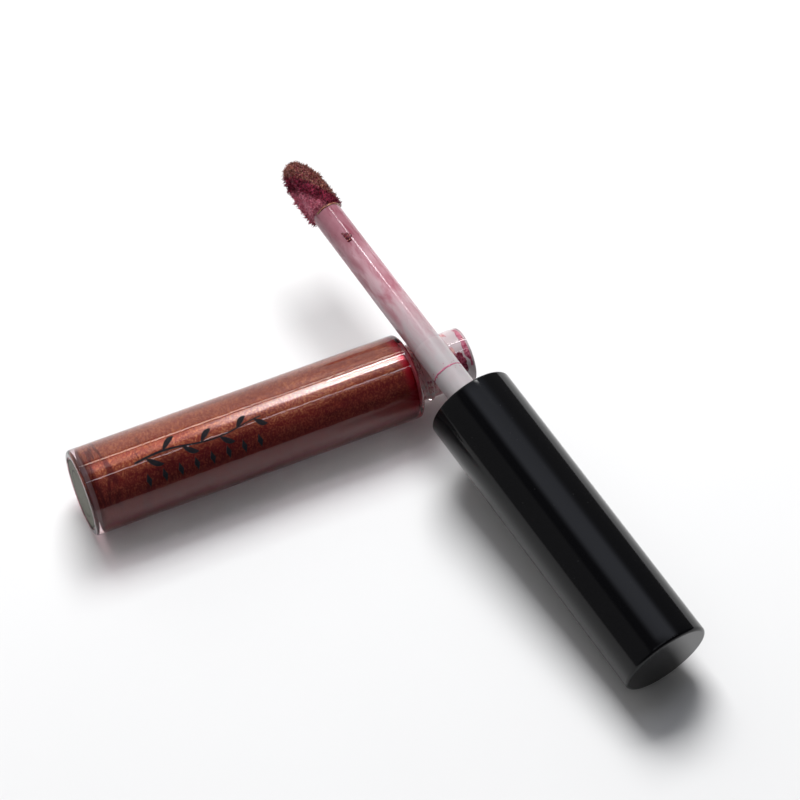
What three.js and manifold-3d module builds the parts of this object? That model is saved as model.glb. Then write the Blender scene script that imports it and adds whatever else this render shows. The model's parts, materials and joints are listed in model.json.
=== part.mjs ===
// A lip gloss tube, taken apart for use: the clear screw-neck tube lies on its side, and the applicator
// leans across its neck with the cap's far end on the table.
// Units are millimetres, +Z is up and the table is z = 0. The tube's axis runs along +X, base to neck.

import * as THREE from "three";
import { mergeVertices } from "three/addons/utils/BufferGeometryUtils.js";
import Module from "manifold-3d";

const wasm = await Module();
wasm.setup();

// ---- driving dimensions -------------------------------------------------------------------------

const ROUND_SIDES = 48; // facets round the tube and the cap
const SLIM_SIDES = 32; // facets round the stem, the wiper and the tip
const GAP = 0.3; // clearance kept between touching pieces

const TUBE_RADIUS = 7.5;
const TUBE_LENGTH = 59.5; // base to shoulder
const TUBE_WALL = 2.2;
const BASE_THICKNESS = 2.1;
const BASE_RECESS_DEPTH = 0.6;
const BASE_RIM_WIDTH = 1.1; // rim round the label recess, its rounding included
const BASE_ROUNDING = 0.6;
const SHOULDER_ROUNDING = 0.8;
const SHOULDER_THICKNESS = 1.2;

const NECK_RADIUS = 5;
const NECK_LENGTH = 9.8;
const NECK_WALL = 1.1;
const MOUTH_ROUNDING = 0.3;

const THREAD_PITCH = 3;
const THREAD_TURNS = 1.5;
const THREAD_HEIGHT = 0.45;
const THREAD_ROOT_WIDTH = 1.1;
const THREAD_CREST_WIDTH = 0.5;
const THREAD_START = 0.85; // above the shoulder

const WIPER_WALL = 0.5;
const WIPER_FLANGE = 0.9;
const WIPER_LENGTH = 17.5;
const WIPER_TAPER = 3; // length of the cone that carries the wiping lip
const WIPER_LIP_RADIUS = 2.45;

const LABEL_THICKNESS = 0.2;

const CAP_RADIUS = 7.7;
const CAP_LENGTH = 55.5;
const CAP_WALL = 1.1;
const CAP_END_THICKNESS = 1.8;
const CAP_END_ROUNDING = 0.6;
const CAP_RIM_ROUNDING = 0.3;

const LINER_WALL = 0.6;
const LINER_FLOOR = 1.6;
const LINER_BOSS_WALL = 1.1;
const LINER_BOSS_LENGTH = 7.8;
const WASHER_THICKNESS = 1;

const STEM_RADIUS = 2.68; // at the cap
const STEM_END_RADIUS = 2.6; // at the tip
const STEM_OUT = 44.8; // length that stands out of the cap
const STEM_BORE_RADIUS = 1.5; // socket for the tip's pin
const STEM_BORE_DEPTH = 5;

const TIP_RADIUS = 2.95;
const TIP_LENGTH = 12.1;
const TIP_NOSE = 5.1; // length of the rounded end
const TIP_SLANT_START = 1.2; // length left round before the slanted face begins
const TIP_SLANT_DROP = 2.4; // how deep the slanted face has cut in at the tip's end
const TIP_ROLL = -72; // degrees that the slanted face is turned from straight up
const FLOCK_THICKNESS = 0.35;
const TIP_PIN_RADIUS = 1.2;

const LEAN_ON_NECK = 3.1; // the stem crosses the neck this far above the shoulder, between two threads
const LEAN_ON_STEM = 13.1; // and this far out of the cap
const LEAN_ANGLE = 99.1; // degrees from the tube's axis to the applicator's, seen from above

// ---- derived dimensions -------------------------------------------------------------------------

const MOUTH = TUBE_LENGTH + NECK_LENGTH;
const NECK_BORE = NECK_RADIUS - NECK_WALL;
const CAVITY_RADIUS = TUBE_RADIUS - TUBE_WALL;
const CAVITY_END = TUBE_LENGTH - SHOULDER_THICKNESS;
const WIPER_TOP = MOUTH + GAP + WIPER_FLANGE;
const WIPER_RADIUS = NECK_BORE - GAP;
const WIPER_BORE = WIPER_RADIUS - WIPER_WALL;
const WIPER_END = WIPER_TOP - WIPER_LENGTH;
const LINER_RADIUS = CAP_RADIUS - CAP_WALL - GAP;
const LINER_BORE = LINER_RADIUS - LINER_WALL;
const LINER_DEPTH = WIPER_TOP - TUBE_LENGTH + WASHER_THICKNESS + 2 * GAP;
const LINER_SEAT = CAP_LENGTH - LINER_DEPTH;
const LINER_UNDERSIDE = LINER_SEAT - LINER_FLOOR;
const STEM_HOLE = STEM_RADIUS + GAP;
const STEM_START = LINER_UNDERSIDE - LINER_BOSS_LENGTH + 1;
const STEM_END = CAP_LENGTH + STEM_OUT;

// ---- helpers ------------------------------------------------------------------------------------

// A point of a turned profile: how far along the axis, and how far from it.
function at(along, radius) {
  return new THREE.Vector2(radius, along);
}

// A rounded stretch of a profile, from one angle to another in degrees; 0 points along the axis.
function arc(along, radius, bend, from, to, steps = 4) {
  return Array.from({ length: steps + 1 }, (_, i) => {
    const angle = THREE.MathUtils.degToRad(from + ((to - from) * i) / steps);
    return at(along + bend * Math.cos(angle), radius + bend * Math.sin(angle));
  });
}

// Turns a profile about the X axis, with a facet facing straight down.
function turned(profile, sides) {
  const geometry = new THREE.LatheGeometry(profile, sides, Math.PI / sides, 2 * Math.PI);
  return geometry.rotateZ(-Math.PI / 2);
}

function toSolid(geometry) {
  const bare = geometry.clone();
  bare.deleteAttribute("normal");
  bare.deleteAttribute("uv");
  const merged = mergeVertices(bare, 1e-4);
  const mesh = new wasm.Mesh({
    numProp: 3,
    vertProperties: merged.attributes.position.array,
    triVerts: new Uint32Array(merged.index.array),
  });
  return new wasm.Manifold(mesh);
}

function toGeometry(solid) {
  const mesh = solid.getMesh();
  const geometry = new THREE.BufferGeometry();
  geometry.setAttribute("position", new THREE.BufferAttribute(mesh.vertProperties, 3));
  geometry.setIndex(new THREE.BufferAttribute(mesh.triVerts, 1));
  geometry.computeVertexNormals();
  return geometry;
}

// A right-hand thread ridge round the X axis that fades in and out at its ends.
// side is 1 for a ridge that stands out of a neck and -1 for one that stands into a bore.
function threadRidge(wallRadius, start, side) {
  const sweep = THREAD_TURNS * 2 * Math.PI;
  const fade = Math.PI / 5;
  const root = -0.2 * side;
  const crest = THREAD_HEIGHT * side;
  const section = new THREE.Shape([
    new THREE.Vector2(-THREAD_ROOT_WIDTH / 2, root),
    new THREE.Vector2(THREAD_ROOT_WIDTH / 2, root),
    new THREE.Vector2(THREAD_CREST_WIDTH / 2, crest),
    new THREE.Vector2(-THREAD_CREST_WIDTH / 2, crest),
  ]);
  const steps = Math.round(ROUND_SIDES * THREAD_TURNS);
  const ridge = new THREE.ExtrudeGeometry(section, { depth: sweep, steps, bevelEnabled: false });
  const points = ridge.getAttribute("position");
  for (let i = 0; i < points.count; i++) {
    const turn = points.getZ(i);
    const rise = points.getY(i);
    const grown = Math.min(1, turn / fade, (sweep - turn) / fade);
    const radius = wallRadius + (rise * side > 0 ? rise * grown : rise);
    const along = start + points.getX(i) + (THREAD_PITCH * turn) / (2 * Math.PI);
    points.setXYZ(i, along, radius * Math.cos(turn), radius * Math.sin(turn));
  }
  return toSolid(ridge);
}

function piece(name, geometry, color, roughness, extra = {}) {
  const material = new THREE.MeshStandardMaterial({ color, roughness, metalness: 0, ...extra });
  const mesh = new THREE.Mesh(geometry, material);
  mesh.name = name;
  return mesh;
}

// ---- the tube and what stays in it --------------------------------------------------------------

function tubeBottle() {
  const rimInner = TUBE_RADIUS - BASE_RIM_WIDTH;
  const cornerRounding = 1.4;
  const profile = [
    at(BASE_RECESS_DEPTH, 0),
    at(BASE_RECESS_DEPTH, rimInner),
    at(0, rimInner),
    ...arc(BASE_ROUNDING, TUBE_RADIUS - BASE_ROUNDING, BASE_ROUNDING, 180, 90),
    ...arc(TUBE_LENGTH - SHOULDER_ROUNDING, TUBE_RADIUS - SHOULDER_ROUNDING, SHOULDER_ROUNDING, 90, 0),
    at(TUBE_LENGTH, NECK_RADIUS),
    ...arc(MOUTH - MOUTH_ROUNDING, NECK_RADIUS - MOUTH_ROUNDING, MOUTH_ROUNDING, 90, 0, 3),
    at(MOUTH, NECK_BORE),
    at(CAVITY_END, NECK_BORE),
    at(CAVITY_END - 1.5, CAVITY_RADIUS),
    ...arc(BASE_THICKNESS + cornerRounding, CAVITY_RADIUS - cornerRounding, cornerRounding, 90, 180),
    at(BASE_THICKNESS, 0),
  ];
  const neckThread = threadRidge(NECK_RADIUS, TUBE_LENGTH + THREAD_START, 1);
  const bottle = toSolid(turned(profile, ROUND_SIDES)).add(neckThread);
  return piece("tube_bottle", toGeometry(bottle), 0xe8e2e2, 0.05, { transparent: true, opacity: 0.35 });
}

function wiper() {
  const flangeRadius = NECK_RADIUS - 0.1;
  const flangeRounding = 0.3;
  const lipWall = 0.35;
  const profile = [
    at(WIPER_END, WIPER_LIP_RADIUS),
    at(WIPER_END + WIPER_TAPER, WIPER_BORE),
    at(WIPER_TOP, WIPER_BORE),
    ...arc(WIPER_TOP - flangeRounding, flangeRadius - flangeRounding, flangeRounding, 0, 90, 3),
    at(MOUTH + GAP, flangeRadius),
    at(MOUTH + GAP, WIPER_RADIUS),
    at(WIPER_END + WIPER_TAPER, WIPER_RADIUS),
    at(WIPER_END, WIPER_LIP_RADIUS + lipWall),
    at(WIPER_END, WIPER_LIP_RADIUS),
  ];
  return piece("wiper", turned(profile.reverse(), SLIM_SIDES), 0xd9b9c2, 0.35);
}

function glossFill() {
  const radius = CAVITY_RADIUS - GAP;
  const start = BASE_THICKNESS + GAP;
  const cornerRounding = 1.4;
  const wellRadius = WIPER_RADIUS + GAP;
  const profile = [
    at(start, 0),
    ...arc(start + cornerRounding, radius - cornerRounding, cornerRounding, 180, 90),
    at(CAVITY_END - 2, radius),
    at(CAVITY_END - 1, wellRadius + 0.2),
    at(CAVITY_END - 1, wellRadius),
    at(WIPER_END - GAP, wellRadius),
    at(WIPER_END - GAP, 0),
  ];
  return piece("gloss_fill", turned(profile, SLIM_SIDES), 0x8c3f34, 0.3);
}

function baseLabel() {
  const radius = TUBE_RADIUS - BASE_RIM_WIDTH - GAP;
  const back = BASE_RECESS_DEPTH - GAP;
  const profile = [
    at(back - LABEL_THICKNESS, 0),
    at(back - LABEL_THICKNESS, radius),
    at(back, radius),
    at(back, 0),
  ];
  return piece("base_label", turned(profile, ROUND_SIDES), 0xa9ab9f, 0.6);
}

// ---- the applicator, along +X from the cap's closed end -----------------------------------------

function capShell() {
  const inner = CAP_RADIUS - CAP_WALL;
  const cornerRounding = 0.8;
  const profile = [
    at(0, 0),
    ...arc(CAP_END_ROUNDING, CAP_RADIUS - CAP_END_ROUNDING, CAP_END_ROUNDING, 180, 90),
    ...arc(CAP_LENGTH - CAP_RIM_ROUNDING, CAP_RADIUS - CAP_RIM_ROUNDING, CAP_RIM_ROUNDING, 90, 0, 3),
    at(CAP_LENGTH, inner),
    ...arc(CAP_END_THICKNESS + cornerRounding, inner - cornerRounding, cornerRounding, 90, 180),
    at(CAP_END_THICKNESS, 0),
  ];
  return piece("cap_shell", turned(profile, ROUND_SIDES), 0x0c0c0e, 0.18);
}

function capLiner() {
  const front = CAP_LENGTH - GAP;
  const bossRadius = STEM_HOLE + LINER_BOSS_WALL;
  const bossEnd = LINER_UNDERSIDE - LINER_BOSS_LENGTH;
  const profile = [
    at(front, LINER_BORE),
    at(LINER_SEAT, LINER_BORE),
    at(LINER_SEAT, STEM_HOLE),
    at(bossEnd, STEM_HOLE),
    at(bossEnd, bossRadius),
    at(LINER_UNDERSIDE, bossRadius),
    at(LINER_UNDERSIDE, LINER_RADIUS),
    at(front, LINER_RADIUS),
    at(front, LINER_BORE),
  ];
  const threadStart = front - THREAD_PITCH * (THREAD_TURNS + 0.5);
  const innerThread = threadRidge(LINER_BORE, threadStart, -1);
  const liner = toSolid(turned(profile, ROUND_SIDES)).add(innerThread);
  return piece("cap_liner", toGeometry(liner), 0x17171a, 0.45);
}

function sealWasher() {
  const back = LINER_SEAT + GAP;
  const front = back + WASHER_THICKNESS;
  const outer = LINER_BORE - GAP;
  const inner = STEM_HOLE;
  const profile = [at(back, inner), at(back, outer), at(front, outer), at(front, inner), at(back, inner)];
  return piece("seal_washer", turned(profile, ROUND_SIDES), 0xe9e6e0, 0.7);
}

function stem() {
  const chamfer = 0.5;
  const profile = [
    at(STEM_START, 0),
    at(STEM_START, STEM_RADIUS - chamfer),
    at(STEM_START + chamfer, STEM_RADIUS),
    at(CAP_LENGTH, STEM_RADIUS),
    at(STEM_END, STEM_END_RADIUS),
    at(STEM_END, STEM_BORE_RADIUS),
    at(STEM_END - STEM_BORE_DEPTH, STEM_BORE_RADIUS),
    at(STEM_END - STEM_BORE_DEPTH, 0),
  ];
  return piece("stem", turned(profile, SLIM_SIDES), 0xc9b4bc, 0.3);
}

// A round-nosed rod along +X with a slanted flat on its upper side. inset makes it smaller all round.
function doeFoot(start, inset) {
  const radius = TIP_RADIUS - inset;
  const end = STEM_END + TIP_LENGTH - inset;
  const noseStart = STEM_END + TIP_LENGTH - TIP_NOSE;
  const steps = 8;
  const nose = Array.from({ length: steps + 1 }, (_, i) => {
    const angle = (Math.PI / 2) * (i / steps);
    return at(noseStart + (end - noseStart) * Math.sin(angle), radius * Math.cos(angle));
  });
  const rod = toSolid(turned([at(start, 0), at(start, radius), ...nose], SLIM_SIDES));
  const slantLength = TIP_LENGTH - TIP_SLANT_START;
  const slant = Math.atan2(TIP_SLANT_DROP, slantLength);
  const cutter = new THREE.BoxGeometry(40, 20, 10);
  cutter.translate(0, 0, 5);
  cutter.rotateY(slant);
  cutter.translate(STEM_END + TIP_LENGTH - slantLength, 0, TIP_RADIUS - inset / Math.cos(slant));
  return rod.subtract(toSolid(cutter));
}

function tipCore() {
  const inset = FLOCK_THICKNESS + GAP;
  const pinEnd = STEM_END + 2;
  const pinStart = STEM_END - STEM_BORE_DEPTH + GAP;
  const pin = turned(
    [at(pinStart, 0), at(pinStart, TIP_PIN_RADIUS), at(pinEnd, TIP_PIN_RADIUS), at(pinEnd, 0)],
    SLIM_SIDES,
  );
  const core = doeFoot(STEM_END + GAP, inset).add(toSolid(pin));
  return piece("tip_core", toGeometry(core), 0xb98a90, 0.5);
}

function tipFlock() {
  const outer = doeFoot(STEM_END + GAP, 0);
  const inner = doeFoot(STEM_END - 1, FLOCK_THICKNESS);
  return piece("tip_flock", toGeometry(outer.subtract(inner)), 0x8a3a4a, 0.9);
}

// ---- how the two halves lie ---------------------------------------------------------------------

// Where the applicator's axis starts and how far it tilts, when the stem rests on the neck and the
// rounded edge of the cap's far end rests on the table.
function restingApplicator() {
  const heading = THREE.MathUtils.degToRad(LEAN_ANGLE);
  const spacing = NECK_RADIUS + STEM_RADIUS + GAP;
  const reach = CAP_LENGTH + LEAN_ON_STEM;
  const place = (tilt) => {
    const direction = new THREE.Vector3(
      Math.cos(tilt) * Math.cos(heading),
      Math.cos(tilt) * Math.sin(heading),
      Math.sin(tilt),
    );
    const upward = new THREE.Vector3(1, 0, 0).cross(direction).normalize();
    const start = new THREE.Vector3(TUBE_LENGTH + LEAN_ON_NECK, 0, TUBE_RADIUS);
    start.addScaledVector(upward, spacing).addScaledVector(direction, -reach);
    const edgeHeight = start.z + CAP_END_ROUNDING * Math.sin(tilt)
      - (CAP_RADIUS - CAP_END_ROUNDING) * Math.cos(tilt);
    return { start, tilt, heading, lift: edgeHeight - CAP_END_ROUNDING };
  };
  let low = 0;
  let high = Math.PI / 6;
  for (let i = 0; i < 50; i++) {
    const middle = (low + high) / 2;
    if (place(middle).lift > 0) low = middle;
    else high = middle;
  }
  return place(low);
}

const tube = new THREE.Group();
tube.add(tubeBottle(), wiper(), glossFill(), baseLabel());
tube.position.z = TUBE_RADIUS;

const tip = new THREE.Group();
tip.add(tipCore(), tipFlock());
tip.rotation.x = THREE.MathUtils.degToRad(TIP_ROLL);

const resting = restingApplicator();
const applicator = new THREE.Group();
applicator.add(capShell(), capLiner(), sealWasher(), stem(), tip);
applicator.rotation.order = "ZYX";
applicator.rotation.set(0, -resting.tilt, resting.heading);
applicator.position.copy(resting.start);

// The origin is the middle of the footprint, on the table.
const layout = new THREE.Group();
layout.add(tube, applicator);
const box = new THREE.Box3().setFromObject(layout, true);
const middle = box.getCenter(new THREE.Vector3());
layout.position.set(-middle.x, -middle.y, -box.min.z);

const glossTube = new THREE.Group();
glossTube.name = "lip_gloss_tube";
glossTube.add(layout);

export default glossTube;
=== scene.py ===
"""A lip gloss tube taken apart for use: a clear screw-neck tube of copper-red gloss lies on its side,
and its black applicator leans across the neck, with a stained stem and a flocked, gloss-coated tip."""

import json
import math

import bmesh
import bpy
import numpy as np
from mathutils import Matrix, Vector, noise


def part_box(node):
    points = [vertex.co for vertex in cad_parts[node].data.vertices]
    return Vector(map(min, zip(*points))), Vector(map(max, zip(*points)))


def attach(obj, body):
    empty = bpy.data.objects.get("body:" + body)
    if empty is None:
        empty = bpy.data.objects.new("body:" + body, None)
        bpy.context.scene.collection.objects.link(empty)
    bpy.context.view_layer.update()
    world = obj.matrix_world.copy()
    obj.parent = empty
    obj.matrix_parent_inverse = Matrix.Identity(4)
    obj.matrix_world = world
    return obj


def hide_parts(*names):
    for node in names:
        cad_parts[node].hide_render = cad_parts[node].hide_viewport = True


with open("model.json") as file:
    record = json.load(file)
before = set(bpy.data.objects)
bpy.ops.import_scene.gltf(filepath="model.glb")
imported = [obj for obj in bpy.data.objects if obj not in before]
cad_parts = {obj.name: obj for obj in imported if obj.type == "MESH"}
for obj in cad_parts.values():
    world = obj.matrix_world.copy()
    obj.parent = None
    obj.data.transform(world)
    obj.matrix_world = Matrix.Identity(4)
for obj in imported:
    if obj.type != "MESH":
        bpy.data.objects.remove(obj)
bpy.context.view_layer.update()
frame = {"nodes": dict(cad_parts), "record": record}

MM = 0.001

# ---- where the two halves lie --------------------------------------------------------------------
# Each half has a local frame: X runs along its axis from its closed end, Y is level, Z is as near up
# as it can be. Pieces are made in it, in metres.


def placed(origin, direction):
    along = Vector(direction).normalized()
    level = Vector((0, 0, 1)).cross(along).normalized()
    turn = Matrix((along, level, along.cross(level))).transposed()
    return Matrix.Translation(Vector(origin)) @ turn.to_4x4()


def reach(node, place):
    """Where a CAD node starts and ends along the axis of place, and how far from the axis it reaches."""
    to_local = place.inverted()
    points = [to_local @ v.co for v in frame["nodes"][node].data.vertices]
    along = [p.x for p in points]
    return min(along), max(along), max(math.hypot(p.y, p.z) for p in points)


def record_mount(name):
    return next(m for m in frame["record"]["mounts"] if m["name"] == name)


bottle_low, bottle_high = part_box("tube_bottle")
bottle_middle = (bottle_low + bottle_high) / 2
TUBE = placed((bottle_low.x, bottle_middle.y, bottle_middle.z), (1, 0, 0))
cap_end = record_mount("cap_end")
WAND = placed(cap_end["pos_m"], -Vector(cap_end["axis"]))

GAP = 0.3 * MM
MOUTH, TUBE_RADIUS = reach("tube_bottle", TUBE)[1:]
WIPER_END, WIPER_TOP, WIPER_FLANGE_RADIUS = reach("wiper", TUBE)
CAVITY_RADIUS = reach("gloss_fill", TUBE)[2] + GAP
BASE_THICKNESS = reach("gloss_fill", TUBE)[0] - GAP
LABEL_FRONT, LABEL_BACK, LABEL_RADIUS = reach("base_label", TUBE)
NECK_RADIUS = WIPER_FLANGE_RADIUS + 0.1 * MM
NECK_LENGTH = 9.8 * MM
NECK_BORE = 3.9 * MM
SHOULDER = MOUTH - NECK_LENGTH
RIM = WIPER_TOP - 0.15 * MM  # the clear rim stands round the wiper's flange
GLOSS_START = BASE_THICKNESS - 0.5 * MM  # the gloss fills a little more of the tube than in the CAD,
CAVITY_END = SHOULDER - 0.45 * MM  # as the photograph shows
WIPER_RADIUS = NECK_BORE - GAP
WIPER_WALL = 0.5 * MM
THREAD_PITCH = 3 * MM
THREAD_TURNS = 1.5
THREAD_HEIGHT = 0.45 * MM

CAP_LENGTH, CAP_RADIUS = reach("cap_shell", WAND)[1:]
CAP_WALL = 1.1 * MM
LINER_BACK, LINER_FRONT, LINER_RADIUS = reach("cap_liner", WAND)
WASHER_BACK, WASHER_FRONT, WASHER_RADIUS = reach("seal_washer", WAND)
STEM_START, STEM_END, STEM_RADIUS = reach("stem", WAND)
STEM_END_RADIUS = 2.6 * MM
TIP_START = STEM_END - 0.3 * MM  # the flock laps over the stem's rounded end
FLOCK_END, TIP_RADIUS = reach("tip_flock", WAND)[1:]
TIP_END = FLOCK_END - 0.5 * MM  # the fibres reach past the skin they stand on
TIP_NOSE = 5.6 * MM
TIP_SLANT_START = STEM_END + 1.2 * MM
TIP_SLANT_DROP = 1.7 * MM
TIP_FACE_ANGLE = math.radians(72)  # the slanted face, turned from Z towards Y

ON_AXIS = 0.001 * MM  # a profile point this near the axis becomes a single point
FINE = 192  # sides of the tube and the cap
SLIM = 96  # sides of the slim pieces

# ---- mesh helpers --------------------------------------------------------------------------------


def arc(along, radius, bend, start, end, steps=8):
    """A rounded stretch of a profile, from one angle to another in degrees; 0 points along the axis."""
    angles = [math.radians(start + (end - start) * i / steps) for i in range(steps + 1)]
    return [(along + bend * math.cos(a), radius + bend * math.sin(a)) for a in angles]


def rows(start, end, radius, count, end_radius=None):
    """Evenly spaced points of a straight stretch of a profile."""
    end_radius = radius if end_radius is None else end_radius
    shares = [i / (count - 1) for i in range(count)]
    return [(start + (end - start) * t, radius + (end_radius - radius) * t) for t in shares]


def smooth_step(x, low=0.0, high=1.0):
    t = min(1.0, max(0.0, (x - low) / (high - low)))
    return t * t * (3 - 2 * t)


def solid_object(name, mesh, place, sharp_degrees=38):
    """Turns a bmesh, made in a half's local frame, into a smooth-shaded object in the shared frame."""
    bmesh.ops.recalc_face_normals(mesh, faces=mesh.faces)
    mesh.transform(place)
    data = bpy.data.meshes.new(name)
    mesh.to_mesh(data)
    mesh.free()
    data.polygons.foreach_set("use_smooth", [True] * len(data.polygons))
    data.set_sharp_from_angle(angle=math.radians(sharp_degrees))
    piece = bpy.data.objects.new(name, data)
    bpy.context.scene.collection.objects.link(piece)
    return piece


def even_normals(piece):
    """Keeps broad faces flat beside their rounded edges."""
    weighted = piece.modifiers.new("even_normals", "WEIGHTED_NORMAL")
    weighted.keep_sharp = True


def turned(name, profile, place, sides=FINE, closed=False, lift=None, flat_faces=True):
    """Turns a profile of (along, radius) points about the X axis. lift(along, angle, radius) adds to
    the radius, and angle runs from Y towards Z."""
    mesh = bmesh.new()
    rings = []
    for along, radius in profile:
        if radius < ON_AXIS:
            rings.append([mesh.verts.new((along, 0, 0))])
            continue
        ring = []
        for i in range(sides):
            angle = 2 * math.pi * i / sides
            r = radius + (lift(along, angle, radius) if lift else 0)
            ring.append(mesh.verts.new((along, r * math.cos(angle), r * math.sin(angle))))
        rings.append(ring)
    pairs = list(zip(rings, rings[1:]))
    if closed:
        pairs.append((rings[-1], rings[0]))
    for low, high in pairs:
        for i in range(sides):
            j = (i + 1) % sides
            corners = [low[i % len(low)], low[j % len(low)], high[j % len(high)], high[i % len(high)]]
            mesh.faces.new(list(dict.fromkeys(corners)))
    piece = solid_object(name, mesh, place)
    if flat_faces:
        even_normals(piece)
    return piece


def thread_rise(along, angle, start):
    """How far the screw ridge stands out at a point, from 0 to 1."""
    root = 1.3 * MM
    crest = 0.4 * MM
    fade = 0.3  # of a turn
    rise = 0.0
    for lap in range(int(THREAD_TURNS) + 1):
        turn = angle / (2 * math.pi) + lap
        if turn > THREAD_TURNS:
            continue
        grown = smooth_step(min(turn, THREAD_TURNS - turn), 0, fade)
        distance = abs(along - start - THREAD_PITCH * turn)
        rise = max(rise, grown * smooth_step(root / 2 - distance, 0, (root - crest) / 2))
    return rise


def cloud(along, angle, radius, size, seed=0.0):
    """Smooth noise from about -1 to 1 at a point of a round surface, with features of that size."""
    point = Vector((along, radius * math.cos(angle), radius * math.sin(angle))) / size
    return noise.noise(point + Vector((seed, seed * 0.37, -seed)))


def film(name, place, start, end, hidden_radius, shown_radius, cover, rows_along=60, sides=SLIM * 2):
    """A smear on a round surface: a closed ring that lies under the surface where cover(along, angle)
    is 0 and stands out of it towards 1, so that its edge follows the cover."""
    core_radius = min(hidden_radius, shown_radius) - 0.05 * MM
    outer = rows(start, end, hidden_radius, rows_along)
    inner = rows(end, start, core_radius, 3)

    def lift(along, angle, radius):
        if radius < hidden_radius:
            return 0
        return (shown_radius - hidden_radius) * cover(along, angle)

    return turned(name, outer + inner, place, sides, closed=True, lift=lift)


# ---- material helpers ----------------------------------------------------------------------------


class Tree:
    """A node tree, with short ways to add the nodes that the materials and the world share."""

    def __init__(self, tree):
        self.tree = tree

    def add(self, kind, **settings):
        node = self.tree.nodes.new(kind)
        for key, value in settings.items():
            setattr(node, key, value)
        return node

    def link(self, source, target):
        self.tree.links.new(source, target)

    def feed(self, value, target):
        """Links an output to an input, or sets the input to a plain value."""
        if isinstance(value, bpy.types.NodeSocket):
            self.link(value, target)
        else:
            target.default_value = value

    def ramp(self, value, *stops, ease="LINEAR"):
        """A colour ramp: each stop is (position, colour or grey)."""
        node = self.add("ShaderNodeValToRGB")
        node.color_ramp.interpolation = ease
        elements = node.color_ramp.elements
        while len(elements) < len(stops):
            elements.new(0.5)
        for element, (position, colour) in zip(elements, stops):
            grey = isinstance(colour, (int, float))
            element.position = position
            element.color = (colour, colour, colour, 1) if grey else (*colour, 1)
        self.link(value, node.inputs["Fac"])
        return node.outputs["Color"]

    def mix(self, share, first, second, blend="MIX"):
        node = self.add("ShaderNodeMix", data_type="RGBA", blend_type=blend)
        self.feed(share, node.inputs["Factor"])
        for value, socket in ((first, node.inputs["A"]), (second, node.inputs["B"])):
            self.feed((*value, 1) if isinstance(value, tuple) else value, socket)
        return node.outputs["Result"]

    def greys(self, share, first, second):
        """Mixes two plain values."""
        return self.mix(share, (first,) * 3, (second,) * 3)

    def maths(self, operation, *values):
        node = self.add("ShaderNodeMath", operation=operation)
        for value, socket in zip(values, node.inputs):
            self.feed(value, socket)
        return node.outputs["Value"]

    def plus(self, first, second):
        return self.maths("ADD", first, second)

    def minus(self, first, second):
        return self.maths("SUBTRACT", first, second)

    def times(self, first, second):
        return self.maths("MULTIPLY", first, second)

    def window(self, value, low, high):
        """0 below low, 1 above high, smooth between; low may be above high to turn it round."""
        node = self.add("ShaderNodeMapRange", interpolation_type="SMOOTHSTEP")
        flipped = low > high
        self.feed(value, node.inputs["Value"])
        node.inputs["From Min"].default_value = min(low, high)
        node.inputs["From Max"].default_value = max(low, high)
        node.inputs["To Min"].default_value = 1.0 if flipped else 0.0
        node.inputs["To Max"].default_value = 0.0 if flipped else 1.0
        return node.outputs["Result"]

    def apart(self, vector):
        """The three parts of a vector."""
        node = self.add("ShaderNodeSeparateXYZ")
        self.link(vector, node.inputs["Vector"])
        return node.outputs["X"], node.outputs["Y"], node.outputs["Z"]


class Nodes(Tree):
    """A material, textured in the local frame of the half that it belongs to."""

    def __init__(self, name, half=None):
        self.material = bpy.data.materials.new(name)
        self.material.use_nodes = True
        super().__init__(self.material.node_tree)
        self.shader = self.tree.nodes["Principled BSDF"]
        self.output = self.tree.nodes["Material Output"]
        self.place = self.add("ShaderNodeTexCoord").outputs["Object"]
        if half is not None:
            self.place = self.local_to(half)

    def local_to(self, half):
        mapping = self.add("ShaderNodeMapping", vector_type="TEXTURE")
        self.link(self.place, mapping.inputs["Vector"])
        mapping.inputs["Location"].default_value = half.translation
        mapping.inputs["Rotation"].default_value = half.to_euler()
        return mapping.outputs["Vector"]

    def set(self, **values):
        """Sets the main shader's sockets, with _ for a space: Base_Color, Roughness."""
        for key, value in values.items():
            self.feed(value, self.shader.inputs[key.replace("_", " ")])

    def soften(self, weight, radius):
        """Lets light a little way into the surface, by that distance for red, green and blue."""
        self.set(Subsurface_Weight=weight, Subsurface_Radius=radius, Subsurface_Scale=1.0)

    def stretched(self, x, y, z):
        """The local coordinates, scaled along each axis."""
        mapping = self.add("ShaderNodeMapping")
        self.link(self.place, mapping.inputs["Vector"])
        mapping.inputs["Scale"].default_value = (x, y, z)
        return mapping.outputs["Vector"]

    def grain(self, size, detail=4.0, vector=None, distortion=0.0):
        """Noise whose features have that size, from 0 to 1."""
        node = self.add("ShaderNodeTexNoise")
        self.link(vector or self.place, node.inputs["Vector"])
        node.inputs["Scale"].default_value = 1 / size
        node.inputs["Detail"].default_value = detail
        node.inputs["Distortion"].default_value = distortion
        return node.outputs["Fac"]

    def cells(self, size, output="Distance", vector=None):
        node = self.add("ShaderNodeTexVoronoi")
        self.link(vector or self.place, node.inputs["Vector"])
        node.inputs["Scale"].default_value = 1 / size
        return node.outputs[output]

    def axes(self):
        return self.apart(self.place)

    def along(self, x, y, z):
        """How far a point is along a direction, in metres."""
        node = self.add("ShaderNodeVectorMath", operation="DOT_PRODUCT")
        self.link(self.place, node.inputs[0])
        node.inputs[1].default_value = (x, y, z)
        return node.outputs["Value"]

    def bump(self, height, distance, strength=1.0, normal=None):
        node = self.add("ShaderNodeBump")
        self.link(height, node.inputs["Height"])
        node.inputs["Distance"].default_value = distance
        node.inputs["Strength"].default_value = strength
        if normal is not None:
            self.link(normal, node.inputs["Normal"])
        return node.outputs["Normal"]

    def paint(self, piece):
        piece.data.materials.clear()
        piece.data.materials.append(self.material)


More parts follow.
